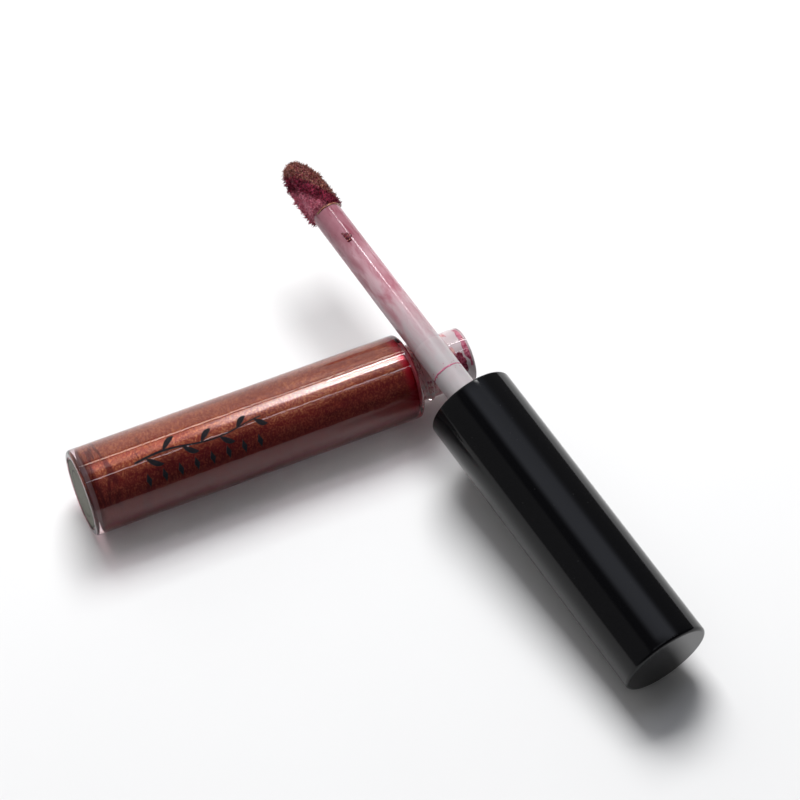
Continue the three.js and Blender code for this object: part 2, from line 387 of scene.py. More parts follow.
def let_lamps_through(nodes, tint):
    """Lets light from the lamps straight through clear plastic, so that what is inside is lit."""
    path = nodes.add("ShaderNodeLightPath")
    clear = nodes.add("ShaderNodeBsdfTransparent")
    clear.inputs["Color"].default_value = (*tint, 1)
    chooser = nodes.add("ShaderNodeMixShader")
    nodes.link(path.outputs["Is Shadow Ray"], chooser.inputs[0])
    nodes.link(nodes.shader.outputs[0], chooser.inputs[1])
    nodes.link(clear.outputs[0], chooser.inputs[2])
    nodes.link(chooser.outputs[0], nodes.output.inputs["Surface"])


# ---- materials -----------------------------------------------------------------------------------


def clear_plastic():
    n = Nodes("clear_plastic", TUBE)
    x = n.axes()[0]
    tint = n.mix(n.grain(9 * MM), (0.97, 0.945, 0.95), (0.985, 0.975, 0.975))
    at_base = n.window(x, BASE_THICKNESS, BASE_THICKNESS - 0.8 * MM)
    tint = n.mix(at_base, tint, (0.66, 0.40, 0.43))
    before_neck = n.window(x, SHOULDER + 0.5 * MM, SHOULDER + 0.1 * MM)
    at_shoulder = n.times(n.window(x, SHOULDER - 2.4 * MM, SHOULDER - 1.2 * MM), before_neck)
    tint = n.mix(at_shoulder, tint, (0.62, 0.11, 0.15))
    tint = n.mix(n.window(x, SHOULDER + 0.2 * MM, SHOULDER + 0.8 * MM), tint, (0.86, 0.81, 0.82))
    handled = n.grain(1.2 * MM, 6, n.stretched(0.4, 1, 1))
    n.set(
        Base_Color=tint,
        Transmission_Weight=1.0,
        IOR=1.43,
        Roughness=n.times(n.window(handled, 0.5, 0.9), 0.05),
        Normal=n.bump(n.grain(7 * MM, 2), 0.02 * MM, 0.5),
    )
    let_lamps_through(n, (0.60, 0.56, 0.57))
    return n


PAINTED_LIGHT_ANGLE = math.radians(62)  # painted light: the side of the gloss painted lighter and more metallic, as if the lamps light it; from Y towards Z


def pearl_gloss():
    """Copper-red gloss with gold pearl, a dark swirl near the base and a smooth streak on top, and painted
    light and shade.
    """
    n = Nodes("pearl_gloss", TUBE)
    x, _, z = n.axes()
    fine = n.cells(0.14 * MM, "Color")
    coarse = n.cells(0.24 * MM, "Color")
    specks = n.window(n.mix(0.5, fine, coarse), 0.42, 0.80)
    lengthwise = n.grain(2.6 * MM, 3, n.stretched(0.12, 1, 1), 0.4)
    facing_lamps = n.along(0, math.cos(PAINTED_LIGHT_ANGLE), math.sin(PAINTED_LIGHT_ANGLE))
    # painted light: the side that faces the lamps gets lighter, more coppery colours and more metal
    painted_lit_side = n.window(facing_lamps, 2.2 * MM, 3.4 * MM)
    pearl = n.mix(specks, (0.090, 0.012, 0.011), (0.165, 0.040, 0.022))
    pearl = n.mix(painted_lit_side, pearl, n.mix(specks, (0.150, 0.030, 0.021), (0.33, 0.130, 0.058)))
    deep = n.mix(specks, (0.070, 0.008, 0.009), (0.125, 0.022, 0.015))
    deep = n.mix(painted_lit_side, deep, n.mix(specks, (0.112, 0.021, 0.015), (0.25, 0.080, 0.038)))
    colour = n.mix(n.window(lengthwise, 0.35, 0.65), deep, pearl)
    folds = n.grain(1.5 * MM, 3, n.stretched(1, 0.16, 0.16), 1.2)
    near_base = n.window(x, 17 * MM, 6 * MM)
    swirl = n.times(n.window(folds, 0.52, 0.66), near_base)
    colour = n.mix(n.times(swirl, 0.8), colour, (0.045, 0.006, 0.008))
    # painted shade: the side that faces away from the lamps is mixed towards a plain deep red
    underside = n.window(facing_lamps, 0.5 * MM, -2 * MM)
    colour = n.mix(n.times(underside, 0.6), colour, (0.16, 0.022, 0.024))
    # painted light here too: the lamp side of the gloss's deep red end near the shoulder is lighter
    at_shoulder = n.window(x, CAVITY_END - 2.2 * MM, CAVITY_END - 0.6 * MM)
    colour = n.mix(at_shoulder, colour, n.mix(painted_lit_side, (0.15, 0.008, 0.014), (0.22, 0.012, 0.022)))
    smoothness = n.times(n.window(x, 16 * MM, 46 * MM), n.window(z, 4.7 * MM, 5.1 * MM))
    ripples = n.bump(n.grain(5 * MM, 2, n.stretched(0.35, 1, 1)), 0.05 * MM, 1.0)
    n.set(
        Base_Color=colour,
        Metallic=n.plus(n.times(painted_lit_side, 0.18), 0.02),
        IOR=1.05,
        Roughness=n.greys(n.grain(1 * MM), 0.28, 0.36),
        Coat_Weight=n.times(smoothness, 0.6),
        Coat_Roughness=0.04,
        Coat_IOR=1.7,
        Coat_Normal=ripples,
        Normal=n.bump(fine, 0.02 * MM, 0.5, ripples),
    )
    return n


def wiper_plastic():
    n = Nodes("wiper_plastic", TUBE)
    inside = n.window(n.axes()[0], MOUTH - 2 * MM, MOUTH - 4 * MM)
    stained = n.times(n.window(n.grain(2 * MM, 5), 0.3, 0.6), inside)
    n.set(
        Base_Color=n.mix(stained, (0.43, 0.39, 0.40), (0.62, 0.30, 0.32)),
        Roughness=n.greys(n.grain(0.6 * MM), 0.4, 0.6),
        IOR=1.15,
    )
    n.soften(0.2, (0.9 * MM, 0.6 * MM, 0.6 * MM))
    return n


def label_film():
    """Grey-green printed film with two thin dark rings and a faint all-over hatch."""
    n = Nodes("label_film", TUBE)
    _, y, z = n.axes()
    away = n.maths("SQRT", n.plus(n.times(y, y), n.times(z, z)))
    mottled = n.mix(n.grain(0.7 * MM, 6), (0.11, 0.11, 0.09), (0.25, 0.245, 0.21))
    hatch_turn = 9000  # radians per metre of Y or Z, which puts the slanting lines 0.5 mm apart
    hatch = n.window(n.maths("SINE", n.times(n.plus(y, z), hatch_turn)), 0.2, 1.0)
    colour = n.mix(n.times(hatch, 0.3), mottled, (0.34, 0.34, 0.29))
    outer_ring = LABEL_RADIUS - 0.25 * MM
    inner_ring = LABEL_RADIUS * 0.66
    for radius in (outer_ring, inner_ring):
        off_ring = n.maths("ABSOLUTE", n.minus(away, radius))
        ring = n.window(off_ring, 0.16 * MM, 0.08 * MM)
        colour = n.mix(n.times(ring, 0.8), colour, (0.07, 0.065, 0.065))
    n.set(
        Base_Color=colour,
        Roughness=n.greys(n.grain(0.5 * MM), 0.55, 0.75),
        IOR=1.15,
        Normal=n.bump(n.grain(0.3 * MM), 0.01 * MM, 0.6),
    )
    return n


def print_ink():
    n = Nodes("print_ink", TUBE)
    n.set(
        Base_Color=n.mix(n.grain(0.5 * MM, 6), (0.006, 0.006, 0.008), (0.02, 0.018, 0.022)),
        Roughness=n.greys(n.grain(0.2 * MM), 0.35, 0.55),
        IOR=1.2,
    )
    return n


def cap_black():
    """Polished black moulding with faint haze and rub marks."""
    n = Nodes("cap_black", WAND)
    haze = n.grain(6 * MM, 5)
    rubs = n.window(n.grain(0.35 * MM, 3, n.stretched(0.06, 1, 1)), 0.62, 0.8)
    specks = n.window(n.cells(1.7 * MM), 0.07, 0.03)
    roughness = n.plus(n.times(haze, 0.09), n.times(rubs, 0.05))
    n.set(
        Base_Color=n.mix(n.times(specks, 0.35), (0.0030, 0.0030, 0.0036), (0.05, 0.05, 0.05)),
        Roughness=n.plus(roughness, 0.05),
        IOR=1.33,
        Normal=n.bump(n.grain(14 * MM, 1), 0.03 * MM, 0.4),
    )
    return n


def liner_black():
    n = Nodes("liner_black", WAND)
    n.set(
        Base_Color=n.mix(n.grain(1.2 * MM, 5), (0.014, 0.014, 0.016), (0.03, 0.03, 0.032)),
        Roughness=n.greys(n.grain(0.5 * MM), 0.32, 0.5),
        Normal=n.bump(n.grain(0.25 * MM, 3), 0.01 * MM, 0.6),
    )
    return n


def washer_foam():
    n = Nodes("washer_foam", WAND)
    pores = n.cells(0.22 * MM)
    stained = n.window(n.grain(1.6 * MM, 5), 0.52, 0.68)
    n.set(
        Base_Color=n.mix(n.times(stained, 0.55), (0.80, 0.78, 0.74), (0.62, 0.30, 0.33)),
        Roughness=0.85,
        Normal=n.bump(pores, 0.05 * MM, 0.7),
    )
    return n


def stem_plastic():
    """Milky plastic: clean beside the cap, cloudy with pink stain towards the tip."""
    n = Nodes("stem_plastic", WAND)
    x = n.axes()[0]
    milky = n.mix(n.grain(2 * MM), (0.42, 0.383, 0.393), (0.475, 0.435, 0.447))
    clouds = n.grain(2.6 * MM, 5, n.stretched(0.38, 1, 1), 0.8)
    pink = n.mix(n.window(clouds, 0.34, 0.66), (0.62, 0.39, 0.435), (0.48, 0.20, 0.245))
    veined = n.window(n.grain(1.1 * MM, 6, n.stretched(0.3, 1, 1), 1.5), 0.52, 0.7)
    pink = n.mix(n.times(veined, 0.5), pink, (0.42, 0.12, 0.17))
    wandering = n.plus(x, n.times(n.minus(clouds, 0.5), 26 * MM))
    deep_pink = n.mix(veined, (0.34, 0.14, 0.175), (0.27, 0.075, 0.105))
    pink = n.mix(n.window(wandering, 78 * MM, 96 * MM), pink, deep_pink)
    stained = n.window(wandering, 60 * MM, 86 * MM)
    wiped = n.window(x, 62 * MM, 84 * MM)
    n.set(
        Base_Color=n.mix(stained, milky, pink),
        Roughness=n.greys(wiped, 0.32, 0.09),
        IOR=1.5,
        Normal=n.bump(n.grain(0.8 * MM, 4, n.stretched(0.4, 1, 1)), 0.015 * MM, 0.6),
    )
    n.soften(0.2, (1.2 * MM, 0.7 * MM, 0.8 * MM))
    return n


def gloss_film(name, light, dark, shine=1.0):
    """Thin gloss with gold specks, as it dries on plastic. Behind clear plastic it has no shine."""
    n = Nodes(name)
    gold = n.window(n.cells(0.3 * MM), 0.22, 0.12)
    colour = n.mix(n.window(n.grain(0.4 * MM, 5), 0.35, 0.65), light, dark)
    n.set(
        Base_Color=n.mix(n.times(gold, 0.15 + 0.85 * shine), colour, (0.80, 0.48, 0.24)),
        Roughness=0.2,
        IOR=1.1 + 0.35 * shine,
        Coat_Weight=0.4 * shine,
        Coat_Roughness=0.08,
        Normal=n.bump(n.grain(0.3 * MM, 4), 0.04 * MM, 0.7),
    )
    n.soften(0.1, (0.4 * MM, 0.2 * MM, 0.2 * MM))
    return n


def tip_side(n):
    """How far a point of the tip is on the gloss-coated side of its slanting border, in metres."""
    across = n.along(0, math.sin(COAT_ANGLE), math.cos(COAT_ANGLE))
    border = n.times(n.minus(n.axes()[0], TIP_START), COAT_SLOPE)
    return n.minus(n.minus(border, TIP_RADIUS), across)


def flock_fibres():
    """Wine-red flock: a rosy flat face, a dark middle and a brown, gloss-soaked side."""
    n = Nodes("flock_fibres", WAND)
    side = n.plus(tip_side(n), n.times(n.grain(0.6 * MM, 3), 1.6 * MM))
    tufts = n.window(n.grain(0.32 * MM, 3), 0.3, 0.7)
    rosy = n.mix(tufts, (0.38, 0.070, 0.125), (0.58, 0.20, 0.26))
    wine = n.mix(tufts, (0.05, 0.003, 0.009), (0.30, 0.024, 0.062))
    brown = n.mix(tufts, (0.085, 0.007, 0.014), (0.34, 0.145, 0.10))
    colour = n.mix(n.window(side, -1.6 * MM, -0.4 * MM), rosy, wine)
    colour = n.mix(n.window(side, 1.2 * MM, 2.2 * MM), colour, brown)
    n.set(
        Base_Color=colour,
        Roughness=n.greys(n.window(side, -0.5 * MM, 1 * MM), 0.62, 0.5),
        IOR=1.3,
        Sheen_Weight=0.1,
        Sheen_Roughness=0.4,
    )
    n.soften(0.1, (0.3 * MM, 0.1 * MM, 0.1 * MM))
    return n


def wet_coat():
    """Thick brown-gold gloss that lies on the flock, with wine-red hollows."""
    n = Nodes("wet_coat", WAND)
    lumps = n.grain(0.45 * MM, 5)
    spots = n.cells(0.24 * MM, "Color")
    gold = n.window(n.cells(0.4 * MM), 0.17, 0.07)
    brown = n.mix(n.window(spots, 0.3, 0.75), (0.080, 0.007, 0.013), (0.40, 0.180, 0.115))
    brown = n.mix(n.window(lumps, 0.60, 0.46), brown, (0.13, 0.010, 0.026))
    n.set(
        Base_Color=n.mix(n.times(gold, 0.6), brown, (0.55, 0.37, 0.20)),
        Roughness=n.greys(lumps, 0.45, 0.6),
        Normal=n.bump(n.grain(0.32 * MM, 5), 0.12 * MM, 0.9),
    )
    return n


def tip_core_plastic():
    n = Nodes("tip_core_plastic", WAND)
    n.set(
        Base_Color=n.mix(n.grain(0.8 * MM, 5), (0.55, 0.28, 0.33), (0.66, 0.42, 0.46)),
        Roughness=n.greys(n.grain(0.4 * MM), 0.35, 0.5),
    )
    return n


# ---- the tube ------------------------------------------------------------------------------------


def cavity(grow):
    """The inside of the tube, from the base to the neck, made larger all round by grow."""
    corner = 0.9 * MM
    top_corner = 0.5 * MM
    floor = GLOSS_START
    wall = CAVITY_RADIUS
    top = CAVITY_END - top_corner
    return [
        *arc(floor + corner, wall - corner, corner + grow, 180, 90, 12),
        *rows(floor + corner + 1 * MM, top - 0.8 * MM, wall + grow, 24),
        *arc(top, wall - top_corner, top_corner + grow, 90, 10, 8),
    ]


def clear_tube():
    rounding = 0.6 * MM
    shoulder_rounding = 0.7 * MM
    rim_inner = TUBE_RADIUS - 1.1 * MM
    recess = 0.6 * MM
    mouth_rounding = 0.35 * MM
    foot = 0.35 * MM
    recess_bevel = 0.1 * MM
    rim_bevel = 0.08 * MM
    profile = [
        (recess, 0),
        (recess, rim_inner - recess_bevel),
        (recess - recess_bevel, rim_inner),
        (rim_bevel, rim_inner),
        (0, rim_inner + rim_bevel),
        *arc(rounding, TUBE_RADIUS - rounding, rounding, 180, 90),
        *rows(2 * MM, SHOULDER - 2 * MM, TUBE_RADIUS, 12),
        *arc(SHOULDER - shoulder_rounding, TUBE_RADIUS - shoulder_rounding, shoulder_rounding, 90, 0),
        *arc(SHOULDER + foot, NECK_RADIUS + foot, foot, 270, 180, 5)[:-1],
        *rows(SHOULDER + foot, RIM - mouth_rounding, NECK_RADIUS, 120),
        *arc(RIM - mouth_rounding, NECK_RADIUS - mouth_rounding, mouth_rounding, 90, 0, 6),
        *arc(RIM - 0.2 * MM, NECK_BORE + 0.2 * MM, 0.2 * MM, 0, -90, 4),
        (CAVITY_END - 0.1 * MM, NECK_BORE),
        *reversed(cavity(0)),
        (GLOSS_START, 0),
    ]
    ridge_start = SHOULDER + 0.85 * MM

    def ridge(along, angle, radius):
        if along < SHOULDER + foot or abs(radius - NECK_RADIUS) > 0.01 * MM:
            return 0
        return THREAD_HEIGHT * thread_rise(along, angle, ridge_start)

    return turned("clear_tube", profile, TUBE, lift=ridge)


def gloss():
    """The gloss reaches a hair into the clear wall, so that no air shows between them."""
    wetting = 0.02 * MM
    well = NECK_BORE + 0.01 * MM
    profile = [
        (GLOSS_START - wetting, 0),
        *cavity(wetting),
        (CAVITY_END - 0.15 * MM, well),
        (WIPER_END - 0.1 * MM, well),
        (WIPER_END - 0.1 * MM, 0),
    ]
    return turned("gloss", profile, TUBE)


def wiper():
    """The wiper is pressed a hair into the clear bore, so that no air shows between them."""
    lip = 2.45 * MM
    pressed = NECK_BORE + 0.02 * MM
    bore = WIPER_RADIUS - WIPER_WALL
    taper = 3 * MM
    rounding = 0.3 * MM
    lip_wall = 0.35 * MM
    profile = [
        *arc(WIPER_END + 0.12 * MM, lip + 0.17 * MM, 0.17 * MM, 270, 90, 8),
        (WIPER_END + taper, pressed),
        *arc(WIPER_TOP - rounding, pressed - rounding, rounding, 90, 0, 6),
        *arc(WIPER_TOP - rounding, bore + rounding, rounding, 0, -90, 6),
        (WIPER_END + taper, bore),
        (WIPER_END + lip_wall, lip),
    ]
    return turned("wiper_insert", profile, TUBE, SLIM, closed=True)


def base_label():
    edge = 0.05 * MM
    profile = [
        (LABEL_FRONT, 0),
        (LABEL_FRONT, LABEL_RADIUS - edge),
        (LABEL_FRONT + edge, LABEL_RADIUS),
        (LABEL_BACK, LABEL_RADIUS),
        (LABEL_BACK, 0),
    ]
    return turned("base_disc", profile, TUBE)


def stroke(mesh, line, width):
    """A thin closed stroke of ink wrapped on the tube. line(t) gives (along, round) for t from 0 to 1,
    both in metres on the surface, and width(t) the stroke's width there."""
    steps = 28
    top = TUBE_RADIUS + 0.02 * MM
    bottom = TUBE_RADIUS - 0.03 * MM
    grid = []
    for i in range(steps + 1):
        t = i / steps
        here = Vector(line(t))
        ahead = Vector(line(min(1, t + 0.01))) - Vector(line(max(0, t - 0.01)))
        side = Vector((-ahead.y, ahead.x)).normalized() * max(width(t), 0.04 * MM) / 2
        row = []
        for radius in (top, bottom):
            for share in (-1, 0, 1):
                along, round_ = here + side * share
                angle = PRINT_ANGLE - round_ / TUBE_RADIUS
                row.append(mesh.verts.new((along, radius * math.cos(angle), radius * math.sin(angle))))
        grid.append(row)
    for a, b in zip(grid, grid[1:]):
        for p, q in ((0, 1), (1, 2), (2, 5), (5, 4), (4, 3), (3, 0)):
            mesh.faces.new((a[p], a[q], b[q], b[p]))
    for row in (grid[0], grid[-1]):
        mesh.faces.new((row[0], row[1], row[4], row[3]))
        mesh.faces.new((row[1], row[2], row[5], row[4]))


PRINT_ANGLE = math.radians(125)  # the middle of the print, turned from Y towards Z
PRINT_START = 9 * MM
PRINT_LENGTH = 22.5 * MM


def sprig_print():
    """A plain leaf sprig above a row of lozenges, in black ink."""
    mesh = bmesh.new()
    row_height = 1.7 * MM
    leaves = 7

    def twig(t):
        return PRINT_START + PRINT_LENGTH * t, row_height + 0.5 * MM * math.sin(2.4 * math.pi * t)

    stroke(mesh, twig, lambda t: 0.42 * MM * (1 - 0.5 * t))
    for i in range(leaves):
        root = twig((i + 0.6) / leaves)
        upward = 1 if i % 2 else -1
        length = 3.4 * MM * (1 - 0.3 * i / leaves)

        def leaf(t, root=root, upward=upward, length=length):
            lean = 0.55 * length * upward * math.sin(0.5 * math.pi * t)
            return root[0] + length * 0.8 * t, root[1] + lean

        stroke(mesh, leaf, lambda t: 0.95 * MM * math.sin(math.pi * t) ** 0.8)
    lozenges = 8
    for i in range(lozenges):
        middle = PRINT_START + PRINT_LENGTH * (i + 0.5) / lozenges
        height = 2.3 * MM

        def lozenge(t, middle=middle, height=height):
            return middle, -row_height + height * (t - 0.5)

        stroke(mesh, lozenge, lambda t: 0.95 * MM * (1 - abs(2 * t - 1)))
    return solid_object("sprig_print", mesh, TUBE)


def sector(angle, start_degrees, end_degrees, fade_degrees=12):
    """1 for an angle inside a sector, in degrees from Y towards Z, fading to 0 at its ends."""
    degrees = math.degrees(angle)
    opening = smooth_step(degrees, start_degrees, start_degrees + fade_degrees)
    return opening * (1 - smooth_step(degrees, end_degrees - fade_degrees, end_degrees))


def smear_in_neck(name, start, end, cover, rows_along=60):
    """A smear between the wiper and the clear wall of the neck."""
    hidden = NECK_BORE - 0.1 * MM
    shown = NECK_BORE + 0.06 * MM
    return film(name, TUBE, start, end, hidden, shown, cover, rows_along)


def mouth_smear():
    """The pink rim of gloss round the upper half of the mouth."""
    start = MOUTH - 1.2 * MM
    end = RIM - 0.25 * MM

    def cover(along, angle):
        width = 0.9 * MM + 0.5 * MM * cloud(0, angle, NECK_BORE, 2.2 * MM, 5.1)
        patch = cloud(along, angle, NECK_BORE, 1.1 * MM, 3.7)
        rim = smooth_step(width + 0.3 * MM * patch - (end - along), 0, 0.2 * MM)
        return rim * sector(angle, 30, 162)

    return smear_in_neck("mouth_smear", start, end, cover)


def neck_smear():
    """A ragged wine-red blot of gloss in the neck."""
    start = MOUTH - 5.6 * MM
    end = MOUTH + 0.6 * MM
    middle = MOUTH - 2.2 * MM
    half_length = 2.3 * MM
    facing_degrees = 143
    half_turn_degrees = 34

    def cover(along, angle):
        off_along = (along - middle) / half_length
        off_turn = (math.degrees(angle) - facing_degrees) / half_turn_degrees
        ragged = 0.20 * cloud(along, angle, NECK_BORE, 1.1 * MM, 3.2)
        ragged += 0.10 * cloud(along, angle, NECK_BORE, 0.4 * MM, 5.2)
        return 1 - smooth_step((off_along**4 + off_turn**4) ** 0.25 + ragged, 0.85, 1.0)

    return smear_in_neck("neck_smear", start, end, cover)


def thread_streaks():
    """Slanting beige and pink streaks along the thread, seen through the clear neck: partly gloss, partly
    a painted highlight of the thread's ridges.
    """
    start = SHOULDER + 0.4 * MM
    end = MOUTH - 1.6 * MM

    def cover(along, angle):
        slant = along - THREAD_PITCH * angle / (2 * math.pi)
        streak = noise.noise(Vector((slant / (0.45 * MM), 1.7 * angle, 4.2)))
        patch = cloud(along, angle, NECK_RADIUS, 2.6 * MM, 2.7)
        return smooth_step(streak, -0.1, 0.1) * smooth_step(patch, -0.6, -0.3)

    return smear_in_neck("thread_streaks", start, end, cover, 90)


# ---- the applicator ------------------------------------------------------------------------------


def cap_shell():
    rounding = 0.6 * MM
    rim = 0.3 * MM
    inner = CAP_RADIUS - CAP_WALL
    floor = 1.8 * MM
    corner = 0.8 * MM
    profile = [
        (0, 0),
        *arc(rounding, CAP_RADIUS - rounding, rounding, 180, 90, 12),
        *rows(2 * MM, CAP_LENGTH - 2 * MM, CAP_RADIUS, 12),
        *arc(CAP_LENGTH - rim, CAP_RADIUS - rim, rim, 90, 0),
        *arc(CAP_LENGTH - 0.15 * MM, inner + 0.15 * MM, 0.15 * MM, 0, -90, 4),
        *arc(floor + corner, inner - corner, corner, 90, 180),
        (floor, 0),
    ]
    return turned("black_cap", profile, WAND)


def cap_liner():
    bore = LINER_RADIUS - 0.6 * MM
    hole = STEM_RADIUS + 0.03 * MM
    boss = hole + 1.1 * MM
    seat = WASHER_BACK - GAP
    underside = seat - 1.6 * MM
    edge = 0.15 * MM
    ridge_start = LINER_FRONT - THREAD_PITCH * (THREAD_TURNS + 0.5)
    profile = [
        *arc(LINER_FRONT - edge, bore + edge, edge, 0, -90, 3),
        *rows(LINER_FRONT - 0.4 * MM, seat + 0.2 * MM, bore, 110),
        (seat, bore - 0.1 * MM),
        (seat, hole),
        (LINER_BACK, hole),
        (LINER_BACK, boss),
        (underside, boss),
        (underside, LINER_RADIUS),
        *arc(LINER_FRONT - edge, LINER_RADIUS - edge, edge, 90, 0, 3),
    ]

    def ridge(along, angle, radius):
        if abs(radius - bore) > 0.01 * MM:
            return 0
        return -THREAD_HEIGHT * thread_rise(along, angle, ridge_start)

    return turned("threaded_liner", profile, WAND, closed=True, lift=ridge)


def seal_washer():
    edge = 0.12 * MM
    hole = STEM_RADIUS + GAP
    profile = [
        *arc(WASHER_BACK + edge, WASHER_RADIUS - edge, edge, 180, 90, 3),
        *arc(WASHER_FRONT - edge, WASHER_RADIUS - edge, edge, 90, 0, 3),
        *arc(WASHER_FRONT - edge, hole + edge, edge, 0, -90, 3),
        *arc(WASHER_BACK + edge, hole + edge, edge, -90, -180, 3),
    ]
    return turned("foam_washer", profile, WAND, SLIM, closed=True)


def stem():
    chamfer = 0.5 * MM
    edge = 0.25 * MM
    profile = [
        (STEM_START, 0),
        (STEM_START, STEM_RADIUS - chamfer),
        (STEM_START + chamfer, STEM_RADIUS),
        *rows(CAP_LENGTH, STEM_END - edge, STEM_RADIUS, 60, STEM_END_RADIUS),
        *arc(STEM_END - edge, STEM_END_RADIUS - edge, edge, 90, 0, 4),
        (STEM_END, 0),
    ]

    def waviness(along, angle, radius):
        if radius < STEM_END_RADIUS - edge:
            return 0
        return 0.012 * MM * cloud(along, angle, radius, 5 * MM, 1.3)

    return turned("stained_stem", profile, WAND, SLIM, lift=waviness)


def stem_ring():
    """The rim of dried gloss where the wiper stops when the tube is closed."""
    middle = CAP_LENGTH + 6.6 * MM

    def cover(along, angle):
        wander = 0.12 * MM * cloud(0, angle, STEM_RADIUS, 1.5 * MM, 4.4)
        width = 0.15 * MM + 0.14 * MM * cloud(0, angle, STEM_RADIUS, 0.5 * MM, 7.1)
        ring = 1 - smooth_step(abs(along - middle - wander), width * 0.5, width * 1.5)
        drops = smooth_step(cloud(along, angle, STEM_RADIUS, 0.3 * MM, 3.3), 0.40, 0.5)
        nearby = 1 - smooth_step(abs(along - middle), 0.5 * MM, 1.3 * MM)
        return max(ring, drops * nearby)

    surface = STEM_RADIUS - 0.01 * MM
    start, end = middle - 1.4 * MM, middle + 1.4 * MM
    return film("stem_ring", WAND, start, end, surface - 0.04 * MM, surface + 0.04 * MM, cover, 90)


def stem_drop():
    """A small smear of red gloss on the stem, near the tip."""
    middle = STEM_END - 7.6 * MM
    facing = math.radians(77)
    surface = STEM_END_RADIUS + 0.02 * MM

    def cover(along, angle):
        t = (along - middle) / (1.25 * MM)
        off = (angle - facing) * surface - 0.22 * MM * math.cos(3 * t)
        body = math.hypot(t, off / (0.66 * MM)) + 0.4 * cloud(along, angle, surface, 0.5 * MM, 6.1)
        return 1 - smooth_step(body, 0.65, 1.05)

    start, end = middle - 2.2 * MM, middle + 2.2 * MM
    return film("stem_drop", WAND, start, end, surface - 0.1 * MM, surface + 0.16 * MM, cover, 70)


# ---- the flocked tip -----------------------------------------------------------------------------

COAT_ANGLE = math.radians(111)  # across the tip from its coated side to its flat face, Z towards Y
COAT_SLOPE = 2 * TIP_RADIUS / (TIP_END - TIP_START - 0.9 * MM)
FIBRE_SEED = 11
NOSE_LEAN = math.radians(-22)  # the side on which the nose is fullest, turned from Y towards Z


def toward_flat(angle):
    """1 in the middle of the slanted flat, and 0 a quarter of a turn away from it."""
    return math.cos(angle - (math.pi / 2 - TIP_FACE_ANGLE))


def tip_radius(along, angle):
    """The tip's radius at a point: a round-nosed rod with a slanted flat, blended at its edges.
    angle runs from Y towards Z, as on every turned piece."""
    nose_start = TIP_END - TIP_NOSE
    past = min(1.0, max(0.0, (along - nose_start) / TIP_NOSE))
    bluntness = 2.3 + 0.6 * math.cos(angle - NOSE_LEAN)
    rod = TIP_RADIUS * (1 - past**bluntness) ** (1 / bluntness)
    slope = TIP_SLANT_DROP / (TIP_END - TIP_SLANT_START)
    depth = TIP_RADIUS - max(0.0, along - TIP_SLANT_START) * slope
    facing = toward_flat(angle)
    edge_on = 0.05
    if facing < edge_on:
        return rod
    flat = depth / facing
    soft = 0.25 * MM
    share = min(1.0, max(0.0, 0.5 + 0.5 * (flat - rod) / soft))
    return flat * (1 - share) + rod * share - soft * share * (1 - share)


def tip_point(along, angle, lift=0.0):
    radius = tip_radius(along, angle) + lift
    return Vector((along, radius * math.cos(angle), radius * math.sin(angle)))


def tip_normal(along, angle):
    step = 0.03 * MM
    end = min(along + step, TIP_END - 0.001 * MM)
    length = tip_point(end, angle) - tip_point(end - 2 * step, angle)
    around = tip_point(along, angle + 0.02) - tip_point(along, angle - 0.02)
    return around.cross(length).normalized()


def tip_rows(count=70):
    """Places along the tip, closer together towards its rounded end."""
    return [TIP_START + (TIP_END - TIP_START) * math.sin(0.5 * math.pi * i / count) for i in range(count)]


def coat_side(point):
    """How far a point of the tip is on the gloss-coated side of its slanting border, in metres."""
    across = point.y * math.sin(COAT_ANGLE) + point.z * math.cos(COAT_ANGLE)
    return (point.x - TIP_START) * COAT_SLOPE - TIP_RADIUS - across


def tip_body(name, lift):
    """A closed skin over the whole tip, with lift(along, angle) added to its radius."""
    profile = [(TIP_START - 0.05 * MM, 0)]
    profile += [(along, TIP_RADIUS) for along in tip_rows()]
    profile.append((TIP_END, 0))

    def rise(along, angle, radius):
        collar = STEM_END_RADIUS - 0.03 * MM + 0.3 * (along - TIP_START)
        return min(collar, tip_radius(along, angle) + lift(along, angle)) - radius

    return turned(name, profile, WAND, SLIM * 2, lift=rise, flat_faces=False)


def tip_core():
    """The flexible core under the flock, with the pin that holds it in the stem's end."""
    pin_start = reach("tip_core", WAND)[0]
    pin_end = STEM_END + 0.05 * MM
    pin_radius = 1.2 * MM
    cover = 0.8 * MM
    end = TIP_END - 1.2 * MM
    profile = [
        (pin_start, 0),
        (pin_start, pin_radius),
        (pin_end, pin_radius),
        *rows(pin_end + 0.05 * MM, end, TIP_RADIUS - cover, 40),
        (end, 0),
    ]

    def shape(along, angle, radius):
        return tip_radius(along, angle) - cover - radius if along > pin_end else 0

    return turned("flexible_core", profile, WAND, SLIM, lift=shape)


def fibre(mesh, root, tip, thickness, bend):
    """One tapered, slightly bent fibre as a closed three-sided spike."""
    axis = (tip - root).normalized()
    side = axis.orthogonal().normalized() * thickness
    turn = Matrix.Rotation(2 * math.pi / 3, 3, axis)
    foot, waist = [], []
    for _ in range(3):
        foot.append(mesh.verts.new(root + side))
        waist.append(mesh.verts.new(root.lerp(tip, 0.55) + bend + side * 0.7))
        side = turn @ side
    point = mesh.verts.new(tip)
    for i in range(3):
        j = (i + 1) % 3
        mesh.faces.new((foot[i], foot[j], waist[j], waist[i]))
        mesh.faces.new((waist[i], waist[j], point))
    mesh.faces.new(foot[::-1])


